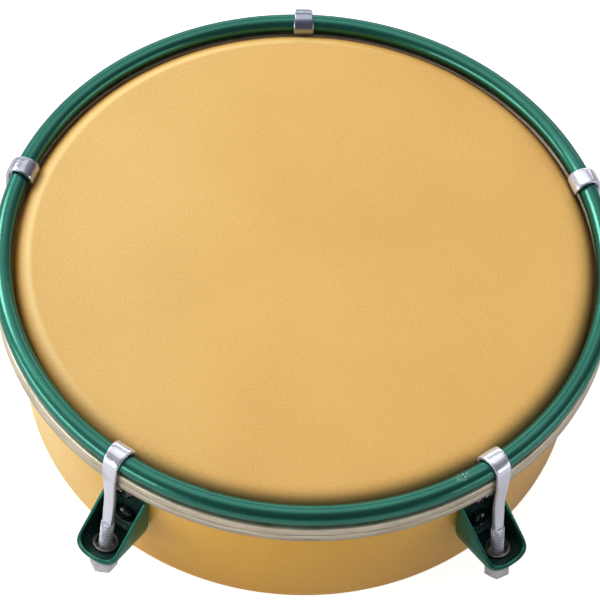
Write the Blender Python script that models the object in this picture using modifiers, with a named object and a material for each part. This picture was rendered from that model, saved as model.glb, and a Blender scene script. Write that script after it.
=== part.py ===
"""A tamborim: a one-headed frame drum with five hook tensioners, in metres, +Z up.

The origin is the centre of the playing surface, and the drum hangs below it. Lug station 1 is at +Y.
"""

import math

import bmesh
import bpy
from mathutils import Matrix, Vector

MM = 0.001

# Shell
SHELL_DIAMETER = 152.4 * MM
SHELL_WALL = 1.5 * MM
DRUM_HEIGHT = 49.8 * MM
BEARING_RADIUS = 2.85 * MM
RIM_EDGE_RADIUS = 0.3 * MM

# Drumhead film
FILM_THICKNESS = 0.35 * MM
COLLAR_DEPTH = 5.2 * MM
FILM_FLARE_RADIUS = 0.8 * MM
FILM_FLARE_REACH = 2.6 * MM

# Counterhoop rod
ROD_DIAMETER = 5.2 * MM
ROD_TOP_ABOVE_HEAD = 2.1 * MM
ROD_TO_COLLAR = 0.6 * MM

# Flesh hoop
FLESH_HOOP_WIDTH = 4.6 * MM
FLESH_HOOP_HEIGHT = 6.5 * MM
FLESH_HOOP_OUTSET = 5.7 * MM
FLESH_HOOP_CHAMFER = 0.45 * MM
FLESH_HOOP_LOWER_RADIUS = 1.2 * MM

# Tension hook and its thread
STATIONS = 5
FIRST_STATION_DEG = 90.0
HOOK_LEAN_DEG = 8.0
THREAD_DIAMETER = 3.9 * MM
THREAD_LENGTH = 19.4 * MM
THREAD_BELOW_NUT = 1.2 * MM
THREAD_TIP_CHAMFER = 0.5 * MM
HOOK_THICKNESS = 1.2 * MM
HOOK_TIP_WIDTH = 5.7 * MM
HOOK_BEND_WIDTH = 4.2 * MM
SHANK_WIDTH = 3.05 * MM
SHANK_THICKNESS = 1.8 * MM
SHANK_STEP = 0.3 * MM
HOOK_TIP_ANGLE_DEG = 172.0
HOOK_JOG_START = 1.2 * MM
HOOK_JOG_LENGTH = 15.5 * MM

# Tuning nut and ferrule
NUT_ACROSS_FLATS = 6.4 * MM
NUT_HEIGHT = 6.2 * MM
NUT_CORNER_CHAMFER = 0.6 * MM
FERRULE_TOP_DIAMETER = 6.9 * MM
FERRULE_FOOT_DIAMETER = 7.4 * MM
FERRULE_TUBE_DIAMETER = 5.9 * MM
FERRULE_BORE = 4.9 * MM
FERRULE_FLANGE = 0.6 * MM

# Lug
LUG_HOLE_REACH = 10.4 * MM
LUG_FLOOR_DEPTH = 33.6 * MM
LUG_WIDTH = 12.4 * MM
LUG_SHEET = 1.0 * MM
LUG_FLOOR_THICKNESS = 1.6 * MM
LUG_REACH = 17.0 * MM
LUG_NOSE_LENGTH = 4.0 * MM
LUG_NOSE_SQUARENESS = 2.6
LUG_BACK_DEPTH = 12.5 * MM
LUG_WALL_TOP_DEPTH = 20.8 * MM
LUG_LIP_RISE = 1.6 * MM
LUG_LIP_LENGTH = 2.2 * MM
LUG_LIP_SLOPE = 0.32
LUG_HEEL_RADIUS = 4.0 * MM
LUG_SIDE_RADIUS = 1.4 * MM

# Lug screws, washers and nuts
SCREW_DIAMETER = 3.0 * MM
SCREW_LENGTH = 8.0 * MM
SCREW_TIP_CHAMFER = 0.4 * MM
SCREW_HEAD_DIAMETER = 5.6 * MM
SCREW_HEAD_HEIGHT = 2.0 * MM
RECESS_WIDTH = 0.8 * MM
RECESS_SPAN = 3.4 * MM
RECESS_DEPTH = 1.1 * MM
UPPER_SCREW_DROP = 5.3 * MM
LOWER_SCREW_RISE = 4.0 * MM
WASHER_DIAMETER = 7.0 * MM
WASHER_THICKNESS = 0.5 * MM
SMALL_NUT_ACROSS_FLATS = 5.5 * MM
SMALL_NUT_HEIGHT = 2.4 * MM

# Clearances
CONTACT_GAP = 0.3 * MM
THREAD_GAP = 0.3 * MM
HOLE_GAP = 0.3 * MM
HOOK_TO_ROD = 0.3 * MM

# Facets
RING_STEPS = 80
ROD_SIDES = 12
HOLE_SIDES = 16
FASTENER_SIDES = 12
FERRULE_SIDES = 20
CUT_MARGIN = 5.0 * MM

# Places that follow from the sizes above
SHELL_RADIUS = SHELL_DIAMETER / 2
SHELL_TOP = -FILM_THICKNESS - CONTACT_GAP
SHELL_BOTTOM = -DRUM_HEIGHT
COLLAR_INNER = SHELL_RADIUS + CONTACT_GAP
COLLAR_OUTER = COLLAR_INNER + FILM_THICKNESS
ROD_RADIUS = ROD_DIAMETER / 2
HOOP_RADIUS = COLLAR_OUTER + ROD_TO_COLLAR + ROD_RADIUS
HOOP_Z = ROD_TOP_ABOVE_HEAD - ROD_RADIUS
FLESH_TOP = HOOP_Z - ROD_RADIUS - CONTACT_GAP
FLESH_BOTTOM = FLESH_TOP - FLESH_HOOP_HEIGHT
FLESH_OUTER = COLLAR_OUTER + FLESH_HOOP_OUTSET
FLESH_INNER = FLESH_OUTER - FLESH_HOOP_WIDTH
FILM_TURN_Z = -COLLAR_DEPTH - FILM_FLARE_RADIUS
LEAN = math.radians(HOOK_LEAN_DEG)
LUG_BACK_RADIUS = SHELL_RADIUS + CONTACT_GAP
LUG_FACE_RADIUS = LUG_BACK_RADIUS + LUG_SHEET
LUG_NOSE = SHELL_RADIUS + LUG_REACH
FLOOR_TOP = -LUG_FLOOR_DEPTH
UPPER_SCREW_DEPTH = LUG_BACK_DEPTH + UPPER_SCREW_DROP
LOWER_SCREW_DEPTH = LUG_FLOOR_DEPTH - LOWER_SCREW_RISE
FLOOR_BOTTOM = FLOOR_TOP - LUG_FLOOR_THICKNESS
HOOK_REACH = SHELL_RADIUS + LUG_HOLE_REACH
FERRULE_TUBE = LUG_FLOOR_THICKNESS + 2 * CONTACT_GAP
NUT_TOP = -LUG_FLOOR_THICKNESS - 2 * CONTACT_GAP - FERRULE_FLANGE
THREAD_END = NUT_TOP - NUT_HEIGHT - THREAD_BELOW_NUT


def make_collection(name):
    collection = bpy.data.collections.new(name)
    bpy.context.scene.collection.children.link(collection)
    return collection


def make_material(name, colour, roughness, metallic):
    material = bpy.data.materials.new(name)
    material.use_nodes = True
    shader = material.node_tree.nodes["Principled BSDF"]
    shader.inputs["Base Color"].default_value = (*colour, 1.0)
    shader.inputs["Roughness"].default_value = roughness
    shader.inputs["Metallic"].default_value = metallic
    material.diffuse_color = (*colour, 1.0)
    return material


def link_object(name, mesh, collection, material=None, parent=None):
    piece = bpy.data.objects.new(name, mesh)
    collection.objects.link(piece)
    if material and not mesh.materials:
        mesh.materials.append(material)
    piece.parent = parent
    return piece


def make_empty(name, collection, parent=None):
    empty = bpy.data.objects.new(name, None)
    empty.empty_display_size = 5 * MM
    collection.objects.link(empty)
    empty.parent = parent
    return empty


def smooth(mesh, angle_deg=35.0):
    mesh.shade_smooth()
    mesh.set_sharp_from_angle(angle=math.radians(angle_deg))


def finish_mesh(bm, name, smooth_faces=True):
    bmesh.ops.recalc_face_normals(bm, faces=bm.faces)
    mesh = bpy.data.meshes.new(name)
    bm.to_mesh(mesh)
    bm.free()
    if smooth_faces:
        smooth(mesh)
    return mesh


def baked(piece):
    """The piece's mesh with its modifiers applied. The piece itself is removed."""
    bpy.context.view_layer.update()
    graph = bpy.context.evaluated_depsgraph_get()
    mesh = bpy.data.meshes.new_from_object(piece.evaluated_get(graph))
    mesh.name = piece.name
    bpy.data.objects.remove(piece)
    return mesh


def arc(centre, radius, start_deg, end_deg, steps):
    """Points on an arc in a radial plane: (distance from the axis, height)."""
    points = []
    for step in range(steps + 1):
        angle = math.radians(start_deg + (end_deg - start_deg) * step / steps)
        points.append((centre[0] + radius * math.cos(angle), centre[1] + radius * math.sin(angle)))
    return points


def turned_mesh(name, profile, closed, steps=RING_STEPS):
    """Turns a profile of (radius, height) points about Z. It runs down its outer side."""
    bm = bmesh.new()
    verts = [bm.verts.new((x, 0.0, z)) for x, z in profile]
    pairs = list(zip(verts, verts[1:]))
    if closed:
        pairs.append((verts[-1], verts[0]))
    for first, second in pairs:
        bm.edges.new((first, second))
    mesh = bpy.data.meshes.new(name)
    bm.to_mesh(mesh)
    bm.free()
    piece = link_object(name, mesh, bpy.context.scene.collection)
    screw = piece.modifiers.new("turn", "SCREW")
    screw.axis = "Z"
    screw.steps = steps
    screw.render_steps = steps
    screw.use_merge_vertices = True
    screw.merge_threshold = 0.00001
    mesh = baked(piece)
    smooth(mesh)
    return mesh


def cylinder_mesh(name, radius, height, sides):
    """A cylinder or hexagon on the local Z axis, from 0 down to minus its height."""
    bm = bmesh.new()
    bmesh.ops.create_cone(
        bm, cap_ends=True, segments=sides, radius1=radius, radius2=radius, depth=height,
        matrix=Matrix.Translation((0, 0, -height / 2)))
    return finish_mesh(bm, name, smooth_faces=False)


def add_cut(piece, cutter):
    cut = piece.modifiers.new("cut", "BOOLEAN")
    cut.operation = "DIFFERENCE"
    cut.solver = "EXACT"
    cut.object = cutter


def make_cutter(name, mesh, matrix):
    cutter = link_object(name, mesh, cutters)
    cutter.matrix_world = matrix
    cutter.hide_render = True
    cutter.display_type = "WIRE"
    return cutter


def radial_matrix(azimuth, z, radius=0.0):
    """Turns a local Z axis outward at this azimuth, from a point at this radius and height."""
    turn = Matrix.Rotation(azimuth, 4, "Z") @ Matrix.Translation((radius, 0, z))
    return turn @ Matrix.Rotation(math.pi / 2, 4, "Y")


def station_azimuth(index):
    return math.radians(FIRST_STATION_DEG + 360.0 / STATIONS * index)


def shell_mesh():
    """A rolled sheet cylinder whose top turns in over the bearing edge."""
    inner_turn = BEARING_RADIUS - SHELL_WALL
    turn_centre = (SHELL_RADIUS - BEARING_RADIUS, SHELL_TOP - BEARING_RADIUS)
    edge = RIM_EDGE_RADIUS
    wall_in = SHELL_RADIUS - SHELL_WALL
    profile = arc(turn_centre, BEARING_RADIUS, 90, 0, 4)
    profile += [(SHELL_RADIUS, SHELL_BOTTOM + edge), (SHELL_RADIUS - edge, SHELL_BOTTOM)]
    profile += [(wall_in + edge, SHELL_BOTTOM), (wall_in, SHELL_BOTTOM + edge)]
    profile += arc(turn_centre, inner_turn, 0, 90, 3)
    piece = link_object("shell", turned_mesh("shell_wall", profile, closed=True), cutters)
    hole = SCREW_DIAMETER / 2 + HOLE_GAP
    for index in range(STATIONS):
        for depth in (UPPER_SCREW_DEPTH, LOWER_SCREW_DEPTH):
            mesh = cylinder_mesh("shell_drill", hole, 4 * SHELL_WALL, HOLE_SIDES)
            start = SHELL_RADIUS + SHELL_WALL
            cutter = make_cutter("shell_drill", mesh, radial_matrix(station_azimuth(index), -depth, start))
            add_cut(piece, cutter)
    mesh = baked(piece)
    smooth(mesh)
    return mesh


def film_mesh():
    """The film: flat head, rounded shoulder, collar, and a flare that the flesh hoop holds."""
    shoulder = BEARING_RADIUS + CONTACT_GAP
    centre = (COLLAR_INNER - shoulder, -FILM_THICKNESS - shoulder)
    flare_centre_x = COLLAR_OUTER + FILM_FLARE_RADIUS
    flare_end = flare_centre_x + FILM_FLARE_REACH
    flare_centre = (flare_centre_x, -COLLAR_DEPTH)
    outside = [(0.0, 0.0)]
    outside += arc(centre, shoulder + FILM_THICKNESS, 90, 0, 4)
    outside += arc(flare_centre, FILM_FLARE_RADIUS, 180, 270, 2)
    outside.append((flare_end, FILM_TURN_Z))
    inside = [(flare_end, FILM_TURN_Z - FILM_THICKNESS)]
    inside += arc(flare_centre, FILM_FLARE_RADIUS + FILM_THICKNESS, 270, 180, 2)
    inside += arc(centre, shoulder, 0, 90, 4)
    inside.append((0.0, -FILM_THICKNESS))
    return turned_mesh("drumhead", outside + inside, closed=False)


def flesh_hoop_mesh():
    """A ring with a groove on its inner side, where the film's flare lies."""
    c = FLESH_HOOP_CHAMFER
    low = FLESH_HOOP_LOWER_RADIUS
    slot_top = FILM_TURN_Z + CONTACT_GAP
    slot_low = FILM_TURN_Z - FILM_THICKNESS - CONTACT_GAP
    slot_end = COLLAR_OUTER + FILM_FLARE_RADIUS + FILM_FLARE_REACH + CONTACT_GAP
    profile = [(FLESH_OUTER - c, FLESH_TOP), (FLESH_OUTER, FLESH_TOP - c)]
    profile += arc((FLESH_OUTER - low, FLESH_BOTTOM + low), low, 0, -90, 3)
    profile += [
        (FLESH_INNER + c, FLESH_BOTTOM), (FLESH_INNER, FLESH_BOTTOM + c),
        (FLESH_INNER, slot_low), (slot_end, slot_low), (slot_end, slot_top), (FLESH_INNER, slot_top),
        (FLESH_INNER, FLESH_TOP - c), (FLESH_INNER + c, FLESH_TOP)]
    return turned_mesh("flesh_hoop", profile, closed=True)


def counterhoop_mesh():
    profile = arc((HOOP_RADIUS, HOOP_Z), ROD_RADIUS, 90, 90 - 360, ROD_SIDES)[:-1]
    return turned_mesh("counterhoop", profile, closed=True)


def lug_outline(half_width, nose, back):
    """The plan of a lug: straight sides from its back, and a squared round nose."""
    points = [(back, -half_width)]
    start = nose - LUG_NOSE_LENGTH
    steps = 10
    power = 2 / LUG_NOSE_SQUARENESS
    for step in range(steps + 1):
        angle = math.radians(-90 + 180 * step / steps)
        x = start + LUG_NOSE_LENGTH * abs(math.cos(angle)) ** power
        y = half_width * math.copysign(abs(math.sin(angle)) ** power, angle)
        points.append((x, y))
    points.append((back, half_width))
    return points


def tub_mesh(name, half_width, nose, back, top, floor, side_radius, heel_radius):
    """A pressed tub: outlines stacked from its top down to a rounded floor that rises outward."""
    levels = [(top, 0.0, 0.0)]
    steps = 4
    for step in range(steps + 1):
        angle = math.radians(90 * step / steps)
        drop = math.sin(angle)
        inset = 1 - math.cos(angle)
        levels.append((floor + heel_radius * (1 - drop), inset, drop))
    bm = bmesh.new()
    rings = []
    for height, inset, drop in levels:
        side = side_radius * inset
        outline = lug_outline(half_width - side, nose - side, back + heel_radius * inset)
        ring = []
        for x, y in outline:
            rise = drop * (x - HOOK_REACH) * math.tan(LEAN)
            ring.append(bm.verts.new((x, y, height + rise)))
        rings.append(ring)
    for upper, lower in zip(rings, rings[1:]):
        for index in range(len(upper)):
            after = (index + 1) % len(upper)
            bm.faces.new((upper[index], upper[after], lower[after], lower[index]))
    bm.faces.new(rings[0])
    bm.faces.new(rings[-1])
    return finish_mesh(bm, name)


def lug_wall_tops():
    """The top edge of a lug's side walls, from its back plate to its lip: (x, z) points."""
    lip_start = LUG_NOSE - LUG_LIP_LENGTH
    lip_low = FLOOR_TOP + LUG_LIP_RISE
    lip_high = lip_low + LUG_LIP_LENGTH * LUG_LIP_SLOPE
    return [(LUG_FACE_RADIUS, -LUG_WALL_TOP_DEPTH), (lip_start, lip_high), (LUG_NOSE, lip_low)]


def lug_mesh():
    """A pressed scoop: back plate against the shell, two sloping walls, a floor and a low lip."""
    outer = tub_mesh(
        "lug", LUG_WIDTH / 2, LUG_NOSE, LUG_BACK_RADIUS, -LUG_BACK_DEPTH, FLOOR_BOTTOM,
        LUG_SIDE_RADIUS, LUG_HEEL_RADIUS)
    piece = link_object("lug", outer, cutters)
    shell_gap = cylinder_mesh("lug_seat", LUG_BACK_RADIUS, 2 * DRUM_HEIGHT, RING_STEPS)
    add_cut(piece, make_cutter("lug_seat", shell_gap, Matrix.Translation((0, 0, DRUM_HEIGHT / 2))))
    inner = tub_mesh(
        "lug_hollow", LUG_WIDTH / 2 - LUG_SHEET, LUG_NOSE - LUG_SHEET, LUG_FACE_RADIUS, CUT_MARGIN,
        FLOOR_TOP, LUG_SIDE_RADIUS - LUG_SHEET, LUG_HEEL_RADIUS - LUG_SHEET)
    add_cut(piece, make_cutter("lug_hollow", inner, Matrix.Identity(4)))
    bm = bmesh.new()
    half = LUG_WIDTH / 2 + CUT_MARGIN
    tops = lug_wall_tops()
    edge = [(LUG_FACE_RADIUS, CUT_MARGIN)] + tops
    edge += [(LUG_NOSE + CUT_MARGIN, tops[-1][1]), (LUG_NOSE + CUT_MARGIN, CUT_MARGIN)]
    face = bm.faces.new([bm.verts.new((x, -half, z)) for x, z in edge])
    swept = bmesh.ops.extrude_face_region(bm, geom=[face])["geom"]
    moved = [item for item in swept if isinstance(item, bmesh.types.BMVert)]
    bmesh.ops.translate(bm, verts=moved, vec=(0, 2 * half, 0))
    slope = finish_mesh(bm, "lug_slope", smooth_faces=False)
    add_cut(piece, make_cutter("lug_slope", slope, Matrix.Identity(4)))
    tube_hole = FERRULE_TUBE_DIAMETER / 2 + HOLE_GAP
    floor_hole = cylinder_mesh("lug_floor_drill", tube_hole, 4 * LUG_FLOOR_THICKNESS, HOLE_SIDES)
    lift = Matrix.Translation((0, 0, 2 * LUG_FLOOR_THICKNESS))
    add_cut(piece, make_cutter("lug_floor_drill", floor_hole, hook_frame() @ lift))
    screw_hole = SCREW_DIAMETER / 2 + HOLE_GAP
    for depth in (UPPER_SCREW_DEPTH, LOWER_SCREW_DEPTH):
        mesh = cylinder_mesh("lug_back_drill", screw_hole, 4 * LUG_SHEET, HOLE_SIDES)
        start = LUG_FACE_RADIUS + LUG_SHEET
        add_cut(piece, make_cutter("lug_back_drill", mesh, radial_matrix(0.0, -depth, start)))
    mesh = baked(piece)
    smooth(mesh)
    return mesh


def hook_frame():
    """Frame of a hook in its station: origin in the lug's floor hole, Z up the hook's leaning axis."""
    return Matrix.Translation((HOOK_REACH, 0, FLOOR_TOP)) @ Matrix.Rotation(-LEAN, 4, "Y")


def section(width, thickness, power, count=12):
    """A rounded rectangle, or a circle with a power of 2: (across, through) points."""
    points = []
    for index in range(count):
        angle = 2 * math.pi * (index + 0.5) / count
        across = math.copysign(abs(math.cos(angle)) ** (2 / power), math.cos(angle))
        through = math.copysign(abs(math.sin(angle)) ** (2 / power), math.sin(angle))
        points.append((across * width / 2, through * thickness / 2))
    return points


def hook_path():
    """Stations up the hook, in its own frame: (x, z, width, thickness, squareness)."""
    to_hook = hook_frame().inverted()
    rod = to_hook @ Vector((HOOP_RADIUS, 0, HOOP_Z))
    bend_radius = ROD_RADIUS + HOOK_TO_ROD + HOOK_THICKNESS / 2
    offset = rod.x + bend_radius
    thread_top = THREAD_END + THREAD_LENGTH
    tip = THREAD_DIAMETER - 2 * THREAD_TIP_CHAMFER
    path = [(0.0, THREAD_END, tip, tip, 2.0)]
    path.append((0.0, THREAD_END + THREAD_TIP_CHAMFER, THREAD_DIAMETER, THREAD_DIAMETER, 2.0))
    path.append((0.0, thread_top, THREAD_DIAMETER, THREAD_DIAMETER, 2.0))
    path.append((0.0, thread_top + SHANK_STEP, SHANK_WIDTH, SHANK_THICKNESS, 4.0))
    jog_low = rod.z - HOOK_JOG_START - HOOK_JOG_LENGTH
    steps = 5
    for step in range(steps + 1):
        share = step / steps
        z = jog_low + HOOK_JOG_LENGTH * share
        x = offset * (3 * share ** 2 - 2 * share ** 3)
        width = SHANK_WIDTH + (HOOK_BEND_WIDTH - SHANK_WIDTH) * share ** 2
        thickness = SHANK_THICKNESS + (HOOK_THICKNESS - SHANK_THICKNESS) * share
        path.append((x, z, width, thickness, 4.0))
    steps = 7
    for step in range(steps + 1):
        share = step / steps
        angle = math.radians(HOOK_TIP_ANGLE_DEG * share)
        x = rod.x + bend_radius * math.cos(angle)
        z = rod.z + bend_radius * math.sin(angle)
        width = HOOK_BEND_WIDTH + (HOOK_TIP_WIDTH - HOOK_BEND_WIDTH) * share
        path.append((x, z, width, HOOK_THICKNESS, 4.0))
    return path


def hook_mesh():
    """Threaded round end, flattened shank, and a flat claw bent over the counterhoop."""
    path = hook_path()
    bm = bmesh.new()
    rings = []
    for index, (x, z, width, thickness, power) in enumerate(path):
        before = path[max(index - 1, 0)]
        after = path[min(index + 1, len(path) - 1)]
        along = Vector((after[0] - before[0], 0, after[1] - before[1])).normalized()
        if index < 4:
            along = Vector((0, 0, 1))
        through = Vector((along.z, 0, -along.x))
        ring = []
        for across, depth in section(width, thickness, power):
            ring.append(bm.verts.new(Vector((x, across, z)) + through * depth))
        rings.append(ring)
    for lower, upper in zip(rings, rings[1:]):
        for index in range(len(lower)):
            after = (index + 1) % len(lower)
            bm.faces.new((lower[index], lower[after], upper[after], upper[index]))
    bm.faces.new(rings[0])
    bm.faces.new(rings[-1])
    return finish_mesh(bm, "tension_hook")


def bored_hexagon_mesh(name, across_flats, height, bore_radius, chamfer):
    """A hexagonal nut on the local Z axis, its top face at height 0."""
    corner = across_flats / math.sqrt(3)
    body = link_object(name, cylinder_mesh(name, corner, height, 6), cutters)
    drill = cylinder_mesh(name + "_drill", bore_radius, height + 2 * CUT_MARGIN, FASTENER_SIDES)
    add_cut(body, make_cutter(name + "_drill", drill, Matrix.Translation((0, 0, CUT_MARGIN))))
    inside = across_flats / 2
    if not chamfer:
        return baked(body)
    slant = chamfer * math.tan(math.radians(30))
    wide = corner + CUT_MARGIN
    rise = (wide - inside) * slant / (corner - inside)
    profile = [(inside, CUT_MARGIN), (wide, CUT_MARGIN), (wide, -rise), (inside, 0.0)]
    for side, turn in (("top", Matrix.Identity(4)), ("low", Matrix.Rotation(math.pi, 4, "X"))):
        mesh = turned_mesh(name + "_chamfer_" + side, profile, closed=True, steps=24)
        place = turn if side == "top" else Matrix.Translation((0, 0, -height)) @ turn
        add_cut(body, make_cutter(name + "_chamfer_" + side, mesh, place))
    mesh = baked(body)
    smooth(mesh)
    return mesh


def ferrule_mesh():
    """A clinched ring: top flange on the floor, tube through the hole, foot under the floor."""
    bore = FERRULE_BORE / 2
    top = FERRULE_TOP_DIAMETER / 2
    tube = FERRULE_TUBE_DIAMETER / 2
    foot = FERRULE_FOOT_DIAMETER / 2
    seat = CONTACT_GAP
    low = seat - FERRULE_TUBE
    round_over = FERRULE_FLANGE * 0.4
    profile = [
        (top - round_over, seat + FERRULE_FLANGE), (top, seat + FERRULE_FLANGE - round_over), (top, seat),
        (tube, seat), (tube, low), (foot, low), (foot, low - FERRULE_FLANGE), (bore, low - FERRULE_FLANGE),
        (bore, seat + FERRULE_FLANGE - round_over), (bore + round_over, seat + FERRULE_FLANGE)]
    return turned_mesh("lug_ferrule", profile, closed=True, steps=FERRULE_SIDES)


def screw_mesh():
    """A pan head with a cross recess at positive Z, its seat at height 0, and a shank below."""
    head = SCREW_HEAD_DIAMETER / 2
    shank = SCREW_DIAMETER / 2
    tip = SCREW_TIP_CHAMFER
    crown = SCREW_HEAD_HEIGHT
    profile = [
        (0.0, crown), (head * 0.55, crown * 0.92), (head * 0.85, crown * 0.7), (head, crown * 0.35),
        (head, 0.0), (shank, 0.0), (shank, -SCREW_LENGTH + tip), (shank - tip, -SCREW_LENGTH),
        (0.0, -SCREW_LENGTH)]
    turned = turned_mesh("lug_screw", profile, closed=False, steps=FASTENER_SIDES)
    piece = link_object("lug_screw", turned, cutters)
    bm = bmesh.new()
    size = Matrix.Diagonal((RECESS_SPAN, RECESS_WIDTH, 2 * RECESS_DEPTH, 1))
    bmesh.ops.create_cube(bm, size=1, matrix=size)
    slot = finish_mesh(bm, "screw_recess", smooth_faces=False)
    for turn in (math.radians(45), math.radians(135)):
        place = Matrix.Translation((0, 0, crown)) @ Matrix.Rotation(turn, 4, "Z")
        add_cut(piece, make_cutter("screw_recess", slot, place))
    mesh = baked(piece)
    smooth(mesh)
    return mesh


def washer_mesh():
    outer = WASHER_DIAMETER / 2
    bore = SCREW_DIAMETER / 2 + HOLE_GAP
    profile = [(outer, 0.0), (outer, -WASHER_THICKNESS), (bore, -WASHER_THICKNESS), (bore, 0.0)]
    return turned_mesh("lug_washer", profile, closed=True, steps=HOLE_SIDES)


def add_station(index, parts, meshes, finishes):
    """One of the five tensioners, with its lug and the fasteners that hold it."""
    label = str(index + 1)
    station = make_empty("station_" + label, parts)
    station.rotation_euler.z = station_azimuth(index)
    link_object("lug_" + label, meshes["lug"], parts, finishes["green"], station)
    axis = make_empty("hook_axis_" + label, parts, station)
    axis.location = (HOOK_REACH, 0, FLOOR_TOP)
    axis.rotation_euler.y = -LEAN
    link_object("lug_ferrule_" + label, meshes["ferrule"], parts, finishes["plate"], axis)
    link_object("tension_hook_" + label, meshes["hook"], parts, finishes["chrome"], axis)
    nut = link_object("tuning_nut_" + label, meshes["nut"], parts, finishes["plate"], axis)
    nut.location.z = NUT_TOP
    inner_wall = SHELL_RADIUS - SHELL_WALL
    washer_sagitta = inner_wall - math.sqrt(inner_wall ** 2 - (WASHER_DIAMETER / 2) ** 2)
    washer_seat = inner_wall - washer_sagitta - CONTACT_GAP
    nut_seat = washer_seat - WASHER_THICKNESS - CONTACT_GAP
    for row, depth in (("upper", UPPER_SCREW_DEPTH), ("lower", LOWER_SCREW_DEPTH)):
        places = (
            ("lug_screw", "screw", "black", LUG_FACE_RADIUS + CONTACT_GAP),
            ("lug_washer", "washer", "plate", washer_seat),
            ("lug_nut", "small_nut", "plate", nut_seat))
        for name, mesh, finish, radius in places:
            piece = link_object("_".join((name, row, label)), meshes[mesh], parts, finishes[finish], station)
            piece.location = (radius, 0, -depth)
            piece.rotation_euler.y = math.pi / 2


def build_drum():
    parts = make_collection("tamborim")
    finishes = {
        "shell": make_material("shell_lacquer", (0.78, 0.42, 0.08), 0.28, 0.0),
        "head": make_material("head_coating", (0.85, 0.50, 0.14), 0.62, 0.0),
        "aluminium": make_material("flesh_hoop_aluminium", (0.72, 0.68, 0.58), 0.42, 1.0),
        "green": make_material("green_enamel", (0.015, 0.12, 0.075), 0.14, 0.0),
        "chrome": make_material("hook_chrome", (0.80, 0.80, 0.84), 0.12, 1.0),
        "plate": make_material("nickel_plate", (0.62, 0.61, 0.58), 0.25, 1.0),
        "black": make_material("black_screws", (0.03, 0.035, 0.035), 0.30, 1.0)}
    meshes = {
        "lug": lug_mesh(),
        "ferrule": ferrule_mesh(),
        "hook": hook_mesh(),
        "nut": bored_hexagon_mesh(
            "tuning_nut", NUT_ACROSS_FLATS, NUT_HEIGHT, THREAD_DIAMETER / 2 + THREAD_GAP, NUT_CORNER_CHAMFER),
        "small_nut": bored_hexagon_mesh(
            "lug_nut", SMALL_NUT_ACROSS_FLATS, SMALL_NUT_HEIGHT, SCREW_DIAMETER / 2 + THREAD_GAP, 0.0),
        "screw": screw_mesh(),
        "washer": washer_mesh()}
    link_object("shell", shell_mesh(), parts, finishes["shell"])
    link_object("drumhead", film_mesh(), parts, finishes["head"])
    link_object("flesh_hoop", flesh_hoop_mesh(), parts, finishes["aluminium"])
    link_object("counterhoop", counterhoop_mesh(), parts, finishes["green"])
    for index in range(STATIONS):
        add_station(index, parts, meshes, finishes)


for old in list(bpy.data.objects):
    bpy.data.objects.remove(old)
cutters = make_collection("cutters")
build_drum()
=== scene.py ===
import math

import bmesh
import bpy
from mathutils import Matrix, Vector


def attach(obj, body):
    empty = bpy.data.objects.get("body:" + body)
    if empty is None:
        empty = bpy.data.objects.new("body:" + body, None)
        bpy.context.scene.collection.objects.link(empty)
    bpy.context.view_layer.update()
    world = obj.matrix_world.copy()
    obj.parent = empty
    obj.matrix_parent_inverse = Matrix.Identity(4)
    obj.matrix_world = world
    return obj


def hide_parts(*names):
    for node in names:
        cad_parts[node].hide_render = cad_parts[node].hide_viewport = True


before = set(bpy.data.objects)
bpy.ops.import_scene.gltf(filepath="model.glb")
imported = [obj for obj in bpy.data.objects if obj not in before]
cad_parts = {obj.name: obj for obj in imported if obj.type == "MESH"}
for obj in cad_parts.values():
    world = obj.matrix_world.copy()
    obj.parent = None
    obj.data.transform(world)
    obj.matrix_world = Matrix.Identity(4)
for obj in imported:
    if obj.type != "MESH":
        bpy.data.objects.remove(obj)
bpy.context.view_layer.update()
print("frame loaded:", len(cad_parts), "solids")

mm = 0.001
stationCount = 5
stationTurn = [math.radians(90 + 72 * i) for i in range(stationCount)]


# small helpers

def arcPoints(centre, radius, start, end, steps):
    points = []
    for i in range(steps + 1):
        a = math.radians(start + (end - start) * i / steps)
        points.append((centre[0] + radius * math.cos(a), centre[1] + radius * math.sin(a)))
    return points


def ovalPoints(centre, across, down, start, end, steps):
    return [(centre[0] + (x - centre[0]) * across / down, z)
            for x, z in arcPoints(centre, down, start, end, steps)]


def stationName(base, i):
    return base + "_" + str(i + 1)


def names(base):
    return [stationName(base, i) for i in range(stationCount)]


def stationMatrix(i):
    return Matrix.Rotation(stationTurn[i], 4, "Z")


def looseObject(name, mesh):
    piece = bpy.data.objects.new(name, mesh)
    bpy.context.scene.collection.objects.link(piece)
    return piece


def addPiece(name, mesh, material, body, replaced):
    piece = looseObject(name, mesh)
    piece.data.materials.clear()
    piece.data.materials.append(material)
    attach(piece, body)
    if replaced:
        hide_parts(*replaced)


def smoothShaded(mesh, angle):
    # smooth, with every edge sharper than the angle left crisp
    mesh.shade_smooth()
    mesh.set_sharp_from_angle(angle=math.radians(angle))
    return mesh


def toMesh(bm, name, angle=40.0):
    bmesh.ops.recalc_face_normals(bm, faces=bm.faces)
    mesh = bpy.data.meshes.new(name)
    bm.to_mesh(mesh)
    bm.free()
    return smoothShaded(mesh, angle)


def opened(mesh):
    bm = bmesh.new()
    bm.from_mesh(mesh)
    return bm


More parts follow.
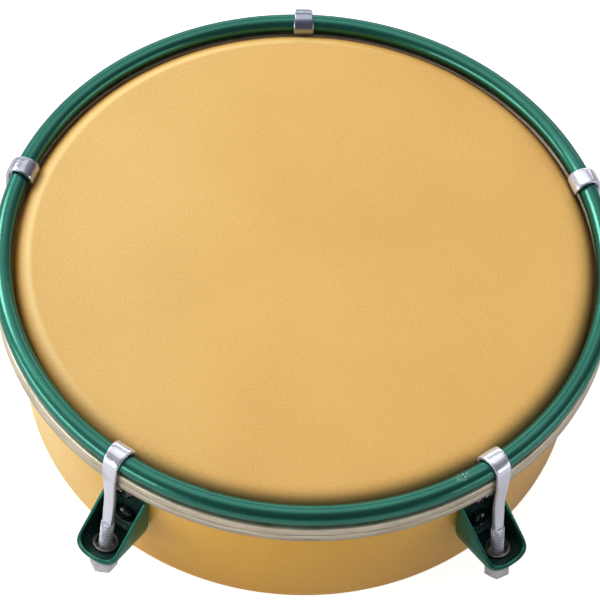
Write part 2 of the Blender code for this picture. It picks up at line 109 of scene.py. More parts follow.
def lathe(name, profile, steps, closed=True):
    # profile points are (radius, height); a point on the axis becomes one vertex
    bm = bmesh.new()
    rings = []
    for radius, height in profile:
        if radius < 1e-7:
            rings.append([bm.verts.new((0, 0, height))])
            continue
        ring = []
        for i in range(steps):
            a = 2 * math.pi * i / steps
            ring.append(bm.verts.new((radius * math.cos(a), radius * math.sin(a), height)))
        rings.append(ring)
    pairs = list(zip(rings, rings[1:]))
    if closed:
        pairs.append((rings[-1], rings[0]))
    for one, two in pairs:
        for i in range(steps):
            j = (i + 1) % steps
            if len(one) == 1 and len(two) == 1:
                continue
            if len(one) == 1:
                bm.faces.new((one[0], two[i], two[j]))
            elif len(two) == 1:
                bm.faces.new((one[i], two[0], one[j]))
            else:
                bm.faces.new((one[i], two[i], two[j], one[j]))
    return toMesh(bm, name)


def bakedMesh(piece, name, cutters=()):
    # the mesh as the modifiers leave it, without the objects it was made from
    bpy.context.view_layer.update()
    graph = bpy.context.evaluated_depsgraph_get()
    mesh = bpy.data.meshes.new_from_object(piece.evaluated_get(graph))
    mesh.name = name
    for used in (piece, *cutters):
        bpy.data.objects.remove(used)
    return mesh


def cutAway(target, cutterMesh, matrix):
    cutter = looseObject("cutter", cutterMesh)
    cutter.matrix_world = matrix
    cut = target.modifiers.new("cut", "BOOLEAN")
    cut.operation = "DIFFERENCE"
    cut.solver = "EXACT"
    cut.object = cutter
    return cutter


def roundEdges(piece, width, segments, angle):
    rounding = piece.modifiers.new("rounding", "BEVEL")
    rounding.width = width
    rounding.segments = segments
    rounding.limit_method = "ANGLE"
    rounding.angle_limit = math.radians(angle)


def placed(mesh, matrix, name):
    copy = mesh.copy()
    copy.name = name
    copy.transform(matrix)
    return copy


def turnOf(vert):
    return math.atan2(vert.co.y, vert.co.x) % (2 * math.pi)


def hump(away, spread):
    # 1 in the middle, falling smoothly to nothing
    return math.exp(-(away / spread) ** 2)


def skinRings(bm, rings):
    # one skin over a row of rings, closed at both ends
    for one, two in zip(rings, rings[1:]):
        for i in range(len(one)):
            j = (i + 1) % len(one)
            bm.faces.new((one[i], one[j], two[j], two[i]))
    bm.faces.new(rings[0])
    bm.faces.new(rings[-1])


# materials

def feed(tree, node, values):
    # another node's output is linked; a colour, vector or number is set
    for label, value in values.items():
        socket = node.inputs[label]
        if isinstance(value, bpy.types.NodeSocket):
            tree.links.new(value, socket)
        elif isinstance(value, tuple):
            socket.default_value = (*value, 1)
        else:
            socket.default_value = value


def addNode(tree, kind, values, **settings):
    node = tree.nodes.new(kind)
    for label, value in settings.items():
        setattr(node, label, value)
    feed(tree, node, values)
    return node


def emptyMaterial(name):
    material = bpy.data.materials.new(name)
    material.use_nodes = True
    material.node_tree.nodes.clear()
    return material, material.node_tree


def nodeSetup(name):
    material, tree = emptyMaterial(name)
    shader = tree.nodes.new("ShaderNodeBsdfPrincipled")
    addNode(tree, "ShaderNodeOutputMaterial", {"Surface": shader.outputs["BSDF"]})
    where = tree.nodes.new("ShaderNodeTexCoord")
    return material, tree, shader, where


def mathNode(tree, operation, *values):
    node = addNode(tree, "ShaderNodeMath", dict(enumerate(values)), operation=operation)
    return node.outputs[0]


def vectorNode(tree, operation, *values, output="Value"):
    node = addNode(tree, "ShaderNodeVectorMath", dict(enumerate(values)), operation=operation)
    return node.outputs[output]


def noiseNode(tree, where, scale, detail=4.0, rough=0.5, stretch=(1, 1, 1)):
    mapping = addNode(tree, "ShaderNodeMapping", {
        "Vector": where.outputs["Object"], "Scale": Vector(stretch)})
    noise = addNode(tree, "ShaderNodeTexNoise", {
        "Vector": mapping.outputs["Vector"], "Scale": scale, "Detail": detail, "Roughness": rough})
    return noise.outputs["Fac"]


def radiusNode(tree, where):
    # how far a point is from the axis of the drum
    flat = vectorNode(tree, "MULTIPLY", where.outputs["Object"], Vector((1, 1, 0)), output="Vector")
    return vectorNode(tree, "LENGTH", flat)


def awayNode(tree, where, spot):
    # how far a point is from a chosen spot
    return vectorNode(tree, "DISTANCE", where.outputs["Object"], Vector(spot))


def rampNode(tree, factor, stops):
    ramp = tree.nodes.new("ShaderNodeValToRGB")
    elements = ramp.color_ramp.elements
    while len(elements) < len(stops):
        elements.new(0.5)
    for element, (place, colour) in zip(elements, stops):
        element.position = place
        element.color = (*colour, 1)
    tree.links.new(factor, ramp.inputs["Fac"])
    return ramp.outputs["Color"]


def rangeNode(tree, factor, low, high, fromLow=0.3, fromHigh=0.7):
    node = addNode(tree, "ShaderNodeMapRange", {
        "Value": factor, "From Min": fromLow, "From Max": fromHigh, "To Min": low, "To Max": high})
    return node.outputs["Result"]


def sideFade(tree, where, direction, start, end):
    # rises from 0 to 1 between two distances towards a direction
    side = vectorNode(tree, "DOT_PRODUCT", where.outputs["Object"], Vector(direction).normalized())
    return rangeNode(tree, side, 0.0, 1.0, start, end)


def mixColour(tree, factor, first, second, blend="MIX"):
    # sockets 6 and 7 are the two colours of this kind of mix
    values = {0: factor, 6: first, 7: second}
    node = addNode(tree, "ShaderNodeMix", values, data_type="RGBA", blend_type=blend)
    return node.outputs[2]


def dress(tree, shader, colour, rough, fixed):
    # colour and roughness change over the surface, the fixed values don't
    feed(tree, shader, {"Base Color": colour, "Roughness": rough, **fixed})


def bumpChain(tree, shader, layers):
    # layers are (height socket, depth)
    last = None
    for height, depth in layers:
        bump = addNode(tree, "ShaderNodeBump", {"Height": height, "Distance": depth, "Strength": 1.0})
        if last:
            tree.links.new(last, bump.inputs["Normal"])
        last = bump.outputs["Normal"]
    tree.links.new(last, shader.inputs["Normal"])


def coatedHead():
    look = {"colour": (0.842, 0.522, 0.151), "pale": (0.872, 0.552, 0.168),
            "deep": (0.805, 0.485, 0.135), "polished": (0.98, 0.68, 0.25),
            "middle": (0.962, 0.90, 0.788), "right": (0.943, 0.864, 0.733),
            "rimStart": 71.2 * mm, "rimEnd": 77.0 * mm}
    material, tree, shader, where = nodeSetup("speckled head coating")
    broad = noiseNode(tree, where, 22.0, 3.0)
    fine = noiseNode(tree, where, 1500.0, 2.0, 0.6)
    grains = noiseNode(tree, where, 3600.0, 1.0)
    base = rampNode(tree, broad, [(0.3, look["deep"]), (0.5, look["colour"]), (0.72, look["pale"])])
    speck = rampNode(tree, fine, [(0.36, (0.90, 0.88, 0.84)), (0.52, (1, 1, 1))])
    colour = mixColour(tree, 0.8, base, speck, "MULTIPLY")
    # painted light and shade: the coating is paler towards the left, where the light falls, and darker
    # towards the right
    across = sideFade(tree, where, (1, -0.2, 0), -60 * mm, 60 * mm)
    headSideShade = rampNode(tree, across, [(0.0, (1, 1, 1)), (0.5, look["middle"]), (1.0, look["right"])])
    colour = mixColour(tree, 1.0, colour, headSideShade, "MULTIPLY")
    # painted shade: the rim of the film is darker, most of all on the near side
    reach = rangeNode(tree, radiusNode(tree, where), 0.0, 1.0, look["rimStart"], look["rimEnd"])
    rim = rampNode(tree, reach, [
        (0.58, (1, 1, 1)), (0.76, (0.82, 0.69, 0.50)), (0.95, (0.66, 0.53, 0.38))])
    nearRimShade = rampNode(tree, reach, [
        (0.34, (1, 1, 1)), (0.54, (0.84, 0.84, 0.86)), (0.74, (0.48, 0.50, 0.54)),
        (0.93, (0.24, 0.27, 0.32))])
    nearShadeWeight = sideFade(tree, where, (0.35, -1, 0), -10 * mm, 60 * mm)
    colour = mixColour(tree, 1.0, colour, mixColour(tree, nearShadeWeight, rim, nearRimShade), "MULTIPLY")
    # painted highlight: a pale ring where the film turns down, on the lit left side
    ring = rampNode(tree, reach, [
        (0.14, (0, 0, 0)), (0.30, (1, 1, 1)), (0.40, (1, 1, 1)), (0.58, (0, 0, 0))])
    left = sideFade(tree, where, (-0.86, 0.51, 0), 8 * mm, 62 * mm)
    colour = mixColour(tree, mixColour(tree, 1.0, ring, left, "MULTIPLY"), colour, look["polished"])
    dress(tree, shader, colour, rangeNode(tree, fine, 0.50, 0.66), {})
    bumpChain(tree, shader, [(fine, 0.06 * mm), (grains, 0.02 * mm)])
    return material


def shellLacquer():
    look = {"colour": (0.90, 0.485, 0.056), "pale": (0.93, 0.515, 0.068),
            "deep": (0.85, 0.445, 0.048), "litSideTint": (0.87, 0.60, 0.15)}
    material, tree, shader, where = nodeSetup("amber shell lacquer")
    broad = noiseNode(tree, where, 30.0, 3.0)
    skin = noiseNode(tree, where, 420.0, 3.0)
    dust = noiseNode(tree, where, 2600.0, 2.0)
    colour = rampNode(tree, broad, [(0.3, look["deep"]), (0.5, look["colour"]), (0.7, look["pale"])])
    # painted light: the lacquer is yellower at the left end, the lit side
    left = sideFade(tree, where, (-1, 0, 0), 40 * mm, 73 * mm)
    colour = mixColour(tree, left, colour, look["litSideTint"])
    dress(tree, shader, colour, rangeNode(tree, skin, 0.30, 0.42), {
        "Metallic": 0.35, "Specular IOR Level": 0.35, "Coat Weight": 0.25, "Coat Roughness": 0.2})
    bumpChain(tree, shader, [(skin, 0.03 * mm), (dust, 0.006 * mm)])
    return material


def greenEnamel():
    look = {"colour": (0.020, 0.142, 0.100), "pale": (0.026, 0.166, 0.118),
            "chip": (0.16, 0.30, 0.26), "edge": (0.55, 0.82, 0.80), "scuff": (0.60, 0.66, 0.62),
            "scuffAt": (38.1 * mm, -69.2 * mm, 2.0 * mm)}
    material, tree, shader, where = nodeSetup("bottle green flake enamel")
    broad = noiseNode(tree, where, 60.0, 3.0)
    peel = noiseNode(tree, where, 700.0, 2.0)
    dust = noiseNode(tree, where, 1900.0, 4.0, 0.7)
    base = rampNode(tree, broad, [(0.35, look["colour"]), (0.7, look["pale"])])
    marks = rampNode(tree, dust, [(0.70, (0, 0, 0)), (0.76, (1, 1, 1))])
    colour = mixColour(tree, marks, base, look["chip"])
    # a few pale scuffs on the counterhoop beside one hook
    grit = noiseNode(tree, where, 2300.0, 1.0)
    grit = rampNode(tree, grit, [(0.56, (0, 0, 0)), (0.68, (1, 1, 1))])
    spot = rangeNode(tree, awayNode(tree, where, look["scuffAt"]), 0.85, 0.0, 0.8 * mm, 2.4 * mm)
    colour = mixColour(tree, mixColour(tree, 1.0, grit, spot, "MULTIPLY"), colour, look["scuff"])
    dress(tree, shader, colour, rangeNode(tree, dust, 0.26, 0.38), {
        "Metallic": 0.90, "Specular Tint": look["edge"], "Coat Weight": 0.35, "Coat Roughness": 0.06})
    bumpChain(tree, shader, [(peel, 0.03 * mm), (dust, 0.008 * mm)])
    return material


def lugInsideShade():
    # painted shade: a darker copy of the green paint stands for the shade inside the scoops, with
    # painted glints where it is rough
    look = {"colour": (0.016, 0.060, 0.050), "paintedGlint": (0.20, 0.26, 0.25)}
    material, tree, shader, where = nodeSetup("painted shade green inside")
    dust = noiseNode(tree, where, 1500.0, 4.0, 0.7)
    colour = rampNode(tree, dust, [(0.58, look["colour"]), (0.70, look["paintedGlint"])])
    dress(tree, shader, colour, rangeNode(tree, dust, 0.40, 0.22), {"Metallic": 0.5})
    bumpChain(tree, shader, [(dust, 0.06 * mm)])
    return material


def hoopAluminium():
    look = {"colour": (0.63, 0.55, 0.41), "pale": (0.73, 0.66, 0.52), "deep": (0.43, 0.37, 0.27),
            "low": -9.9 * mm, "high": -3.4 * mm}
    material, tree, shader, where = nodeSetup("brushed hoop aluminium")
    lines = noiseNode(tree, where, 130.0, 3.0, 0.6, (1, 1, 14))
    spots = noiseNode(tree, where, 900.0, 3.0)
    colour = rampNode(tree, lines, [(0.3, look["deep"]), (0.5, look["colour"]), (0.68, look["pale"])])
    # painted shade: darker on the lower half and in the rolled groove
    height = sideFade(tree, where, (0, 0, 1), look["low"], look["high"])
    lowAndGrooveShade = rampNode(tree, height, [
        (0.0, (0.62, 0.62, 0.62)), (0.38, (0.84, 0.84, 0.84)), (0.50, (1, 1, 1)),
        (0.525, (0.5, 0.5, 0.5)), (0.55, (0.5, 0.5, 0.5)), (0.575, (1, 1, 1))])
    colour = mixColour(tree, 1.0, colour, lowAndGrooveShade, "MULTIPLY")
    dress(tree, shader, colour, rangeNode(tree, spots, 0.34, 0.50), {"Metallic": 0.85})
    bumpChain(tree, shader, [(lines, 0.04 * mm), (spots, 0.02 * mm)])
    return material


def hookChrome():
    look = {"colour": (0.74, 0.75, 0.84), "dull": (0.60, 0.60, 0.66), "farSideShade": (0.42, 0.45, 0.50)}
    material, tree, shader, where = nodeSetup("bright hook chrome")
    broad = noiseNode(tree, where, 160.0, 3.0)
    fine = noiseNode(tree, where, 1400.0, 3.0)
    colour = rampNode(tree, broad, [(0.30, look["dull"]), (0.46, look["colour"])])
    # painted shade: the hooks towards the far side of the drum are darker, and fully metallic there
    wearAndShade = sideFade(tree, where, (-0.35, 0.94, 0), 10 * mm, 75 * mm)
    colour = mixColour(tree, wearAndShade, colour, mixColour(tree, 1.0, colour, look["farSideShade"], "MULTIPLY"))
    dress(tree, shader, colour, rangeNode(tree, fine, 0.16, 0.28), {})
    tree.links.new(rangeNode(tree, wearAndShade, 0.76, 1.0, 0.0, 1.0), shader.inputs["Metallic"])
    bumpChain(tree, shader, [(broad, 0.05 * mm), (fine, 0.01 * mm)])
    return material


def threadZinc():
    look = {"colour": (0.90, 0.91, 0.97), "deep": (0.68, 0.69, 0.75)}
    material, tree, shader, where = nodeSetup("grey thread plating")
    specks = noiseNode(tree, where, 1500.0, 3.0)
    colour = rampNode(tree, specks, [(0.38, look["deep"]), (0.56, look["colour"])])
    dress(tree, shader, colour, rangeNode(tree, specks, 0.30, 0.42), {"Metallic": 0.15})
    bumpChain(tree, shader, [(specks, 0.03 * mm)])
    return material


def dullPlate(name, look):
    material, tree, shader, where = nodeSetup(name)
    broad = noiseNode(tree, where, 300.0, 4.0)
    fine = noiseNode(tree, where, 1800.0, 3.0)
    colour = rampNode(tree, broad, [(0.35, look["deep"]), (0.6, look["colour"])])
    dress(tree, shader, colour, rangeNode(tree, fine, 0.26, 0.42), {"Metallic": 0.75})
    bumpChain(tree, shader, [(broad, 0.06 * mm), (fine, 0.01 * mm)])
    return material


def blackedSteel():
    look = {"colour": (0.06, 0.066, 0.068), "wearAndShade": (0.50, 0.50, 0.51)}
    material, tree, shader, where = nodeSetup("blacked screw steel")
    broad = noiseNode(tree, where, 700.0, 4.0)
    colour = rampNode(tree, broad, [(0.57, look["colour"]), (0.70, look["wearAndShade"])])
    dress(tree, shader, colour, rangeNode(tree, broad, 0.10, 0.20), {"Metallic": 0.9})
    bumpChain(tree, shader, [(broad, 0.03 * mm)])
    return material


plateLook = {"colour": (0.60, 0.60, 0.63), "deep": (0.42, 0.42, 0.44)}
# painted shade: the ferrule rings get a darker copy of the plate finish
shadedRingLook = {"colour": (0.44, 0.42, 0.38), "deep": (0.12, 0.12, 0.11)}
finishes = {
    "head": coatedHead(), "shell": shellLacquer(), "green": greenEnamel(), "inside": lugInsideShade(),
    "hoop": hoopAluminium(), "chrome": hookChrome(), "thread": threadZinc(), "black": blackedSteel(),
    "plate": dullPlate("dull zinc plate", plateLook),
    "ring": dullPlate("shaded ring plate", shadedRingLook)}
print("materials made:", len(finishes))


# geometry node trees

def newTree(name, sockets):
    tree = bpy.data.node_groups.new(name, "GeometryNodeTree")
    for label, kind, value in sockets:
        socket = tree.interface.new_socket(name=label, in_out="INPUT", socket_type=kind)
        if value is not None:
            socket.default_value = value
    tree.interface.new_socket(name="Geometry", in_out="OUTPUT", socket_type="NodeSocketGeometry")
    return tree, tree.nodes.new("NodeGroupInput").outputs


def runTree(name, tree, values):
    host = looseObject(name, bpy.data.meshes.new(name))
    modifier = host.modifiers.new("nodes", "NODES")
    modifier.node_group = tree
    for item in tree.interface.items_tree:
        if item.in_out == "INPUT" and item.name in values:
            modifier[item.identifier] = values[item.name]
    mesh = bakedMesh(host, name)
    bm = opened(mesh)
    bmesh.ops.remove_doubles(bm, verts=bm.verts, dist=1e-7)
    bm.to_mesh(mesh)
    bm.free()
    return mesh


def finishTree(tree, given, geometry):
    real = addNode(tree, "GeometryNodeRealizeInstances", {0: geometry})
    finish = addNode(tree, "GeometryNodeSetMaterial", {
        "Geometry": real.outputs[0], "Material": given["Finish"]})
    addNode(tree, "NodeGroupOutput", {0: finish.outputs[0]})
    return tree


def stationTree():
    # copies one part, modelled at the first direction, to every station round the drum
    tree, given = newTree("roundTheDrum", [
        ("Part", "NodeSocketObject", None), ("Count", "NodeSocketInt", 5),
        ("First Turn", "NodeSocketFloat", 0.0), ("Step", "NodeSocketFloat", 1.0),
        ("Finish", "NodeSocketMaterial", None)])
    points = addNode(tree, "GeometryNodePoints", {"Count": given["Count"]})
    index = tree.nodes.new("GeometryNodeInputIndex").outputs["Index"]
    turn = mathNode(tree, "MULTIPLY_ADD", index, given["Step"], given["First Turn"])
    aim = addNode(tree, "ShaderNodeCombineXYZ", {"Z": turn})
    rotation = addNode(tree, "FunctionNodeEulerToRotation", {0: aim.outputs[0]})
    part = addNode(tree, "GeometryNodeObjectInfo", {"Object": given["Part"]})
    copies = addNode(tree, "GeometryNodeInstanceOnPoints", {
        "Points": points.outputs[0], "Instance": part.outputs["Geometry"],
        "Rotation": rotation.outputs[0]})
    return finishTree(tree, given, copies.outputs[0])


def threadTree():
    # a ridge wound up a screw: a spiral swept with a diamond section
    tree, given = newTree("woundThread", [
        ("Radius", "NodeSocketFloat", 0.0018), ("Ridge", "NodeSocketFloat", 0.0003),
        ("Turns", "NodeSocketFloat", 20.0), ("Height", "NodeSocketFloat", 0.014),
        ("Steps", "NodeSocketInt", 24), ("Finish", "NodeSocketMaterial", None)])
    spiral = addNode(tree, "GeometryNodeCurveSpiral", {
        "Resolution": given["Steps"], "Rotations": given["Turns"], "Start Radius": given["Radius"],
        "End Radius": given["Radius"], "Height": given["Height"]})
    section = addNode(tree, "GeometryNodeCurvePrimitiveCircle", {
        "Resolution": 4, "Radius": given["Ridge"]})
    sweep = addNode(tree, "GeometryNodeCurveToMesh", {
        "Curve": spiral.outputs[0], "Profile Curve": section.outputs["Curve"], "Fill Caps": True})
    return finishTree(tree, given, sweep.outputs[0])


def rodTree():
    # a ring of bent rod: one circle swept along another, pushed about slightly as by hand
    tree, given = newTree("bentRodRing", [
        ("Ring Radius", "NodeSocketFloat", 0.08), ("Rod Radius", "NodeSocketFloat", 0.0026),
        ("Height", "NodeSocketFloat", 0.0), ("Ring Steps", "NodeSocketInt", 320),
        ("Rod Steps", "NodeSocketInt", 32), ("Waver", "NodeSocketFloat", 0.0001),
        ("Seed", "NodeSocketFloat", 3.0), ("Finish", "NodeSocketMaterial", None)])
    ring = addNode(tree, "GeometryNodeCurvePrimitiveCircle", {
        "Resolution": given["Ring Steps"], "Radius": given["Ring Radius"]})
    lift = addNode(tree, "ShaderNodeCombineXYZ", {"Z": given["Height"]})
    raised = addNode(tree, "GeometryNodeTransform", {
        "Geometry": ring.outputs["Curve"], "Translation": lift.outputs[0]})
    rod = addNode(tree, "GeometryNodeCurvePrimitiveCircle", {
        "Resolution": given["Rod Steps"], "Radius": given["Rod Radius"]})
    sweep = addNode(tree, "GeometryNodeCurveToMesh", {
        "Curve": raised.outputs[0], "Profile Curve": rod.outputs["Curve"]})
    noise = addNode(tree, "ShaderNodeTexNoise", {
        "Scale": 38.0, "Detail": 2.0, "W": given["Seed"]}, noise_dimensions="4D")
    # more of the push goes into the rod than out of it, so the ring stays within its size
    inwards = mathNode(tree, "SUBTRACT", noise.outputs["Fac"], 0.62)
    amount = mathNode(tree, "MULTIPLY", inwards, given["Waver"])
    normal = tree.nodes.new("GeometryNodeInputNormal")
    push = addNode(tree, "ShaderNodeVectorMath", {
        0: normal.outputs[0], "Scale": amount}, operation="SCALE")
    moved = addNode(tree, "GeometryNodeSetPosition", {
        "Geometry": sweep.outputs[0], "Offset": push.outputs[0]})
    return finishTree(tree, given, moved.outputs[0])


roundTheDrum = stationTree()
woundThread = threadTree()
bentRodRing = rodTree()
print("node trees made")


def aroundDrum(name, mesh, finish):
    part = looseObject(name + " part", mesh)
    made = runTree(name, roundTheDrum, {
        "Part": part, "Count": stationCount, "First Turn": stationTurn[0],
        "Step": 2 * math.pi / stationCount, "Finish": finish})
    bpy.data.objects.remove(part)
    return smoothShaded(made, 35)


# shell and head

shellLook = {"radius": 76.2 * mm, "wall": 1.5 * mm, "top": -0.65 * mm, "bottom": -49.8 * mm,
             "bearing": 2.85 * mm, "bearingReach": 4.75 * mm, "edge": 0.45 * mm, "steps": 288}


def makeShell(s):
    centre = (s["radius"] - s["bearingReach"], s["top"] - s["bearing"])
    inner = s["radius"] - s["wall"]
    edge = s["edge"]
    low = s["bottom"]
    wall = s["wall"]
    profile = ovalPoints(centre, s["bearingReach"], s["bearing"], 90, 0, 12)
    profile += arcPoints((s["radius"] - edge, low + edge), edge, 0, -90, 4)
    profile += arcPoints((inner + edge, low + edge), edge, -90, -180, 4)
    profile += ovalPoints(centre, s["bearingReach"] - wall, s["bearing"] - wall, 0, 90, 8)
    return lathe("shell skin", profile, s["steps"])


addPiece("shellSkin", makeShell(shellLook), finishes["shell"], "drum", ["shell"])

headLook = {"film": 0.35 * mm, "radius": shellLook["radius"] + 0.65 * mm, "shoulder": 3.5 * mm,
            "shoulderReach": 5.4 * mm, "collar": -5.2 * mm, "flare": 0.8 * mm, "reach": 2.6 * mm,
            "topRings": (18 * mm, 36 * mm, 54 * mm, 66 * mm), "underRings": (54 * mm, 30 * mm),
            "steps": 288}


def makeHead(s):
    t = s["film"]
    shoulder = s["shoulder"]
    wide = s["shoulderReach"]
    centre = (s["radius"] - wide, -shoulder)
    flareCentre = (s["radius"] + s["flare"], s["collar"])
    end = flareCentre[0] + s["reach"]
    low = s["collar"] - s["flare"]
    outside = [(0, 0)] + [(radius, 0) for radius in s["topRings"]]
    outside += ovalPoints(centre, wide, shoulder, 90, 0, 16)
    outside += arcPoints(flareCentre, s["flare"], 180, 270, 5)
    outside.append((end, low))
    inside = [(end, low - t)]
    inside += arcPoints(flareCentre, s["flare"] + t, 270, 180, 5)
    inside += ovalPoints(centre, wide - t, shoulder - t, 0, 90, 16)
    inside += [(radius, -t) for radius in s["underRings"]] + [(0, -t)]
    return lathe("head film", outside + inside, s["steps"], closed=False)


addPiece("headFilm", makeHead(headLook), finishes["head"], "drum", ["drumhead"])
print("shell and head made")


# hoops

rodLook = {"Ring Radius": 80.05 * mm, "Rod Radius": 2.6 * mm, "Height": -0.5 * mm, "Ring Steps": 320,
           "Rod Steps": 32, "Waver": 0.10 * mm, "Seed": 4.0, "Finish": finishes["green"]}

# the joint of the rod, filed nearly flush: a slight swelling with a dip beside it
weldLook = {"at": 250.6, "swell": 0.16 * mm, "swellSpread": 1.3 * mm, "dip": 0.22 * mm,
            "dipAway": 2.2 * mm, "dipSpread": 0.7 * mm}


def makeRod(values, weld):
    bm = opened(runTree("bent rod", bentRodRing, values))
    for vert in bm.verts:
        turn = turnOf(vert)
        away = (turn - math.radians(weld["at"])) * values["Ring Radius"]
        swell = weld["swell"] * hump(away, weld["swellSpread"])
        dip = weld["dip"] * hump(away - weld["dipAway"], weld["dipSpread"])
        out = Vector((math.cos(turn), math.sin(turn), 0))
        centre = out * values["Ring Radius"] + Vector((0, 0, values["Height"]))
        side = (vert.co - centre).normalized()
        inward = max(0.0, -side.dot(out))
        vert.co += side * (swell - dip) * inward
    return toMesh(bm, "bent rod", 60)


addPiece("counterhoopRod", makeRod(rodLook, weldLook), finishes["green"], "drum",
         ["counterhoop"])

fleshLook = {"outer": 82.55 * mm, "inner": 77.95 * mm, "top": -3.4 * mm, "bottom": -9.9 * mm,
             "upperEdge": 0.5 * mm, "lowerEdge": 1.2 * mm, "groove": 0.16 * mm, "grooveAt": -6.4 * mm,
             "grooveHalf": 2.4, "slotTop": -5.7 * mm, "slotBottom": -6.65 * mm, "slotReach": 80.95 * mm,
             "steps": 576, "crimpAt": 230.4, "crimpDepth": 0.5 * mm, "crimpLength": 0.9 * mm,
             "crimpHeight": 1.3 * mm, "crimpBand": 0.6 * mm}


def makeFleshHoop(s):
    outer = s["outer"]
    inner = s["inner"]
    high = s["upperEdge"]
    low = s["lowerEdge"]
    g = s["groove"]
    at = s["grooveAt"]
    profile = arcPoints((outer - high, s["top"] - high), high, 90, 0, 5)
    half = s["grooveHalf"] * g
    profile += [(outer, at + half), (outer - g * 0.5, at + g), (outer - g, at),
                (outer - g * 0.5, at - g), (outer, at - half)]
    profile += arcPoints((outer - low, s["bottom"] + low), low, 0, -90, 8)
    profile += [(inner + high, s["bottom"]), (inner, s["bottom"] + high), (inner, s["slotBottom"]),
                (s["slotReach"], s["slotBottom"]), (s["slotReach"], s["slotTop"]),
                (inner, s["slotTop"]), (inner, s["top"] - high), (inner + high, s["top"])]
    bm = opened(lathe("flesh hoop", profile, s["steps"]))
    for vert in bm.verts:
        radius = vert.co.xy.length
        if radius < outer - s["crimpBand"]:
            continue
        away = (turnOf(vert) - math.radians(s["crimpAt"])) * outer
        dent = hump(away, s["crimpLength"]) * hump(vert.co.z - at, s["crimpHeight"])
        shrink = (radius - s["crimpDepth"] * dent) / radius
        vert.co.x *= shrink
        vert.co.y *= shrink
    return toMesh(bm, "flesh hoop", 35)


addPiece("fleshHoopRing", makeFleshHoop(fleshLook), finishes["hoop"], "drum",
         ["flesh_hoop"])
print("hoops made")


# lugs

lugLook = {"halfWidth": 6.2 * mm, "sheet": 0.7 * mm, "backSheet": 1.0 * mm, "floorSheet": 1.6 * mm,
           "nose": 93.15 * mm, "noseLength": 4.0 * mm, "squareness": 2.6, "noseSteps": 28,
           "back": shellLook["radius"] + 0.3 * mm, "backTop": -12.5 * mm, "wallTop": -20.8 * mm,
           "floor": -33.6 * mm, "heel": 4.0 * mm, "heelSteps": 10, "side": 1.4 * mm,
           "sideGain": 0.2 * mm, "lipRise": 1.6 * mm, "lipLength": 2.2 * mm, "lipSlope": 0.32,
           "edge": 0.3 * mm, "hole": 86.6 * mm, "holeRadius": 3.2 * mm, "lean": 8.0,
           "screwHole": 1.8 * mm, "screwRows": (-17.8 * mm, -29.6 * mm)}

# how far the cutting shapes reach past what they cut
cutterLook = {"past": 5 * mm, "shellMiddle": -25 * mm, "shellHeight": 120 * mm, "halfWidth": 12 * mm,
              "holeDepth": 8 * mm}

# the painted shade's distances from the walls, from the back plate, under the floor and from the rim
insideShadeLook = {"wall": 0.05 * mm, "behind": 0.1 * mm, "face": 0.2 * mm, "under": 1.0 * mm,
             "rim": 0.25 * mm}

# the frame of a hook: its origin is in the lug's hole, and it leans towards the drum
hookAxis = (Matrix.Translation((lugLook["hole"], 0, lugLook["floor"]))
            @ Matrix.Rotation(-math.radians(lugLook["lean"]), 4, "Y"))


def lugPlan(s, halfWidth, nose, back):
    points = [(back, -halfWidth)]
    power = 2 / s["squareness"]
    start = nose - s["noseLength"]
    for i in range(s["noseSteps"] + 1):
        a = math.radians(-90 + 180 * i / s["noseSteps"])
        x = start + s["noseLength"] * abs(math.cos(a)) ** power
        y = math.copysign(abs(math.sin(a)) ** power, a) * halfWidth
        points.append((x, y))
    points.append((back, halfWidth))
    return points


def tub(s, halfWidth, nose, back, top, floor, side, heel, name):
    # levels are (height, how far the wall has come in, how much the level leans with the floor)
    levels = [(top, 0, 0)]
    for i in range(s["heelSteps"] + 1):
        a = math.radians(90 * i / s["heelSteps"])
        levels.append((floor + heel * (1 - math.sin(a)), 1 - math.cos(a), math.sin(a)))
    bm = bmesh.new()
    rings = []
    for height, inset, drop in levels:
        ring = []
        for x, y in lugPlan(s, halfWidth - side * inset, nose - side * inset, back + heel * inset):
            rise = drop * (x - s["hole"]) * math.tan(math.radians(s["lean"]))
            ring.append(bm.verts.new((x, y, height + rise)))
        rings.append(ring)
    skinRings(bm, rings)
    return toMesh(bm, name)


def drillMesh(radius, depth, sides=40):
    bm = bmesh.new()
    bmesh.ops.create_cone(bm, cap_ends=True, segments=sides, radius1=radius, radius2=radius,
                          depth=depth)
    return toMesh(bm, "drill")


def slopeMesh(s, face, lipStart, lipLow, lipHigh):
    # what is cut away above the sloping rims of the side walls and above the lip
    past = cutterLook["past"]
    half = cutterLook["halfWidth"]
    edge = [(face, past), (face, s["wallTop"]), (lipStart, lipHigh), (s["nose"], lipLow),
            (s["nose"] + past, lipLow), (s["nose"] + past, past)]
    bm = bmesh.new()
    flat = bm.faces.new([bm.verts.new((x, -half, z)) for x, z in edge])
    swept = bmesh.ops.extrude_face_region(bm, geom=[flat])["geom"]
    corners = [item for item in swept if isinstance(item, bmesh.types.BMVert)]
    bmesh.ops.translate(bm, verts=corners, vec=(0, 2 * half, 0))
    return toMesh(bm, "slope")


def paintShadeInside(mesh, s, paint, face, lipStart, lipHigh):
    # the painted shade is on the inside, below the rim
    inner = s["halfWidth"] - s["sheet"] + paint["wall"]
    front = s["nose"] - s["sheet"] + paint["wall"]
    fall = (s["wallTop"] - lipHigh) / (lipStart - face)
    for polygon in mesh.polygons:
        x, y, z = polygon.center
        if x < lipStart:
            rim = s["wallTop"] - (x - face) * fall
        else:
            rim = lipHigh - (x - lipStart) * s["lipSlope"]
        sunk = abs(y) < inner and face - paint["behind"] < x < front
        low = s["floor"] - paint["under"] < z < rim - paint["rim"] or x < face + paint["face"]
        polygon.material_index = 1 if sunk and low else 0


